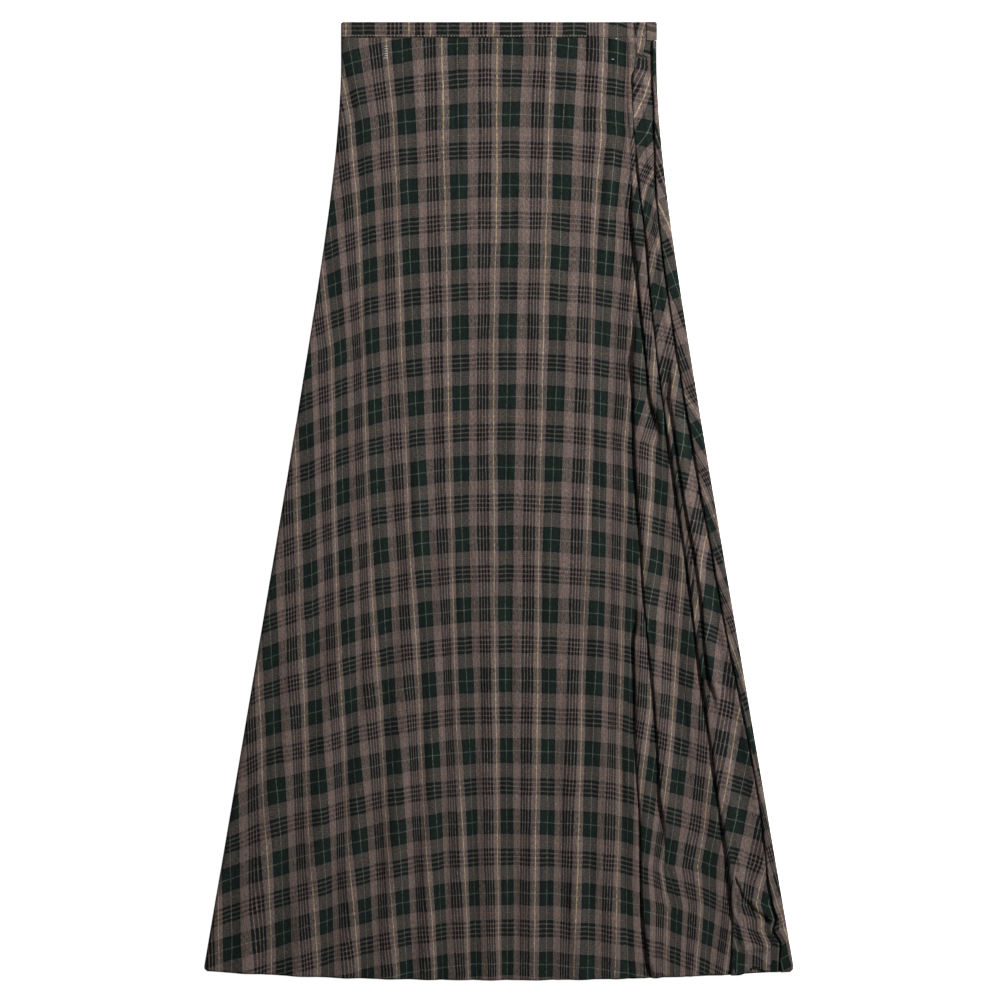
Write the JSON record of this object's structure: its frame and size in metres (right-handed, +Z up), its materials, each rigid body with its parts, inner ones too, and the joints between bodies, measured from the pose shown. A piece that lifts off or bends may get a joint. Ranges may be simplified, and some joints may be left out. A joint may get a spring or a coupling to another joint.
{
  "type": "pleated midi skirt",
  "caption": "Plaid A-line skirt laid flat, with a narrow waistband, waist tucks, soft hem ripples and overlapping folds at one hip.",
  "frame": {"origin": "the middle of the skirt's bounding box, on the surface that it lies on", "axes": "+Y from the hem to the waist, +Z up from the surface, +X to the right as seen from above"},
  "size_m": [0.5891, 0.958, 0.0103],
  "materials": {
    "plaid_cloth": "matt crinkled light woven check in taupe, dark green and black with a fine straw overcheck",
    "band_cloth": "the same woven check, doubled and pressed flat",
    "thread": "beige sewing thread"
  },
  "bodies": {
    "root": {"front_panel": "plaid_cloth", "back_panel": "plaid_cloth", "waistband_back": "band_cloth", "waistband_front_left": "band_cloth", "waistband_front_centre": "band_cloth", "waistband_front_right": "band_cloth", "waistband_end": "band_cloth"}
  },
  "joints": []
}
